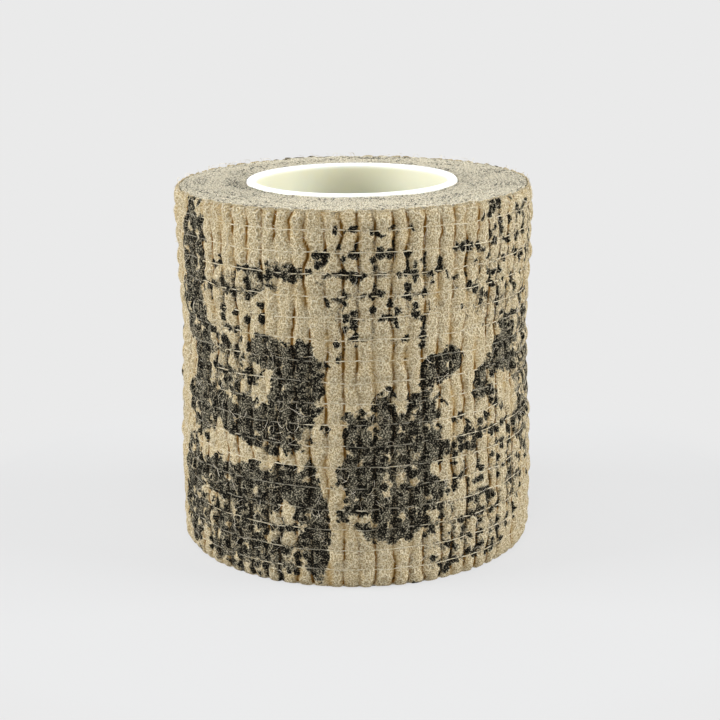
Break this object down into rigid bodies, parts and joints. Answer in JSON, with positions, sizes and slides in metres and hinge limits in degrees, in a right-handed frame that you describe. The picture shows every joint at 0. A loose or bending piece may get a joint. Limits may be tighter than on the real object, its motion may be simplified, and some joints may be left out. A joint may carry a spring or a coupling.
{
  "type": "cohesive elastic wrap roll",
  "caption": "Roll of self-clinging elastic wrap tape: a puckered, blotch-printed fabric web wound on a short white plastic core, with a free end that peels.",
  "frame": {"origin": "on the roll's axis, at the end face that it stands on", "axes": "+Z along the roll's axis, up; the tip of the tail is 114 degrees from +X towards +Y, on the side away from -Y, the front"},
  "size_m": [0.0494, 0.0498, 0.0503],
  "materials": {
    "core_plastic": "satin",
    "printed_web": "matte",
    "elastic_yarn": "matte"
  },
  "bodies": {
    "roll": {"core_tube": "core_plastic", "wound_web": "printed_web", "outer_turn_back_ply": "printed_web", "outer_turn_face_ply": "printed_web", "outer_turn_yarn_01": "elastic_yarn", "outer_turn_yarn_02": "elastic_yarn", "outer_turn_yarn_03": "elastic_yarn", "outer_turn_yarn_04": "elastic_yarn", "outer_turn_yarn_05": "elastic_yarn", "outer_turn_yarn_06": "elastic_yarn", "outer_turn_yarn_07": "elastic_yarn", "outer_turn_yarn_08": "elastic_yarn", "outer_turn_yarn_09": "elastic_yarn", "outer_turn_yarn_10": "elastic_yarn", "outer_turn_yarn_11": "elastic_yarn", "outer_turn_yarn_12": "elastic_yarn", "outer_turn_yarn_13": "elastic_yarn", "outer_turn_yarn_14": "elastic_yarn", "outer_turn_yarn_15": "elastic_yarn", "outer_turn_yarn_16": "elastic_yarn", "outer_turn_yarn_17": "elastic_yarn"},
    "tail_root": {"tail_root_back_ply": "printed_web", "tail_root_face_ply": "printed_web", "tail_root_yarn_01": "elastic_yarn", "tail_root_yarn_02": "elastic_yarn", "tail_root_yarn_03": "elastic_yarn", "tail_root_yarn_04": "elastic_yarn", "tail_root_yarn_05": "elastic_yarn", "tail_root_yarn_06": "elastic_yarn", "tail_root_yarn_07": "elastic_yarn", "tail_root_yarn_08": "elastic_yarn", "tail_root_yarn_09": "elastic_yarn", "tail_root_yarn_10": "elastic_yarn", "tail_root_yarn_11": "elastic_yarn", "tail_root_yarn_12": "elastic_yarn", "tail_root_yarn_13": "elastic_yarn", "tail_root_yarn_14": "elastic_yarn", "tail_root_yarn_15": "elastic_yarn", "tail_root_yarn_16": "elastic_yarn", "tail_root_yarn_17": "elastic_yarn"},
    "tail_tip": {"tail_tip_back_ply": "printed_web", "tail_tip_face_ply": "printed_web", "tail_tip_yarn_01": "elastic_yarn", "tail_tip_yarn_02": "elastic_yarn", "tail_tip_yarn_03": "elastic_yarn", "tail_tip_yarn_04": "elastic_yarn", "tail_tip_yarn_05": "elastic_yarn", "tail_tip_yarn_06": "elastic_yarn", "tail_tip_yarn_07": "elastic_yarn", "tail_tip_yarn_08": "elastic_yarn", "tail_tip_yarn_09": "elastic_yarn", "tail_tip_yarn_10": "elastic_yarn", "tail_tip_yarn_11": "elastic_yarn", "tail_tip_yarn_12": "elastic_yarn", "tail_tip_yarn_13": "elastic_yarn", "tail_tip_yarn_14": "elastic_yarn", "tail_tip_yarn_15": "elastic_yarn", "tail_tip_yarn_16": "elastic_yarn", "tail_tip_yarn_17": "elastic_yarn"}
  },
  "joints": [
    {"name": "tail_peel", "type": "hinge", "parent": "roll", "child": "tail_root", "pos_m": [0.0102, 0.02292, 0.025], "axis": [0, 0, -1], "range_deg": [0, 80]},
    {"name": "tail_curl", "type": "hinge", "parent": "tail_root", "child": "tail_tip", "pos_m": [0, 0.02514, 0.025], "axis": [0, 0, -1], "range_deg": [0, 80]}
  ],
  "couplings": [
    {"joint": "tail_curl", "follows": "tail_peel", "ratio": 1}
  ]
}
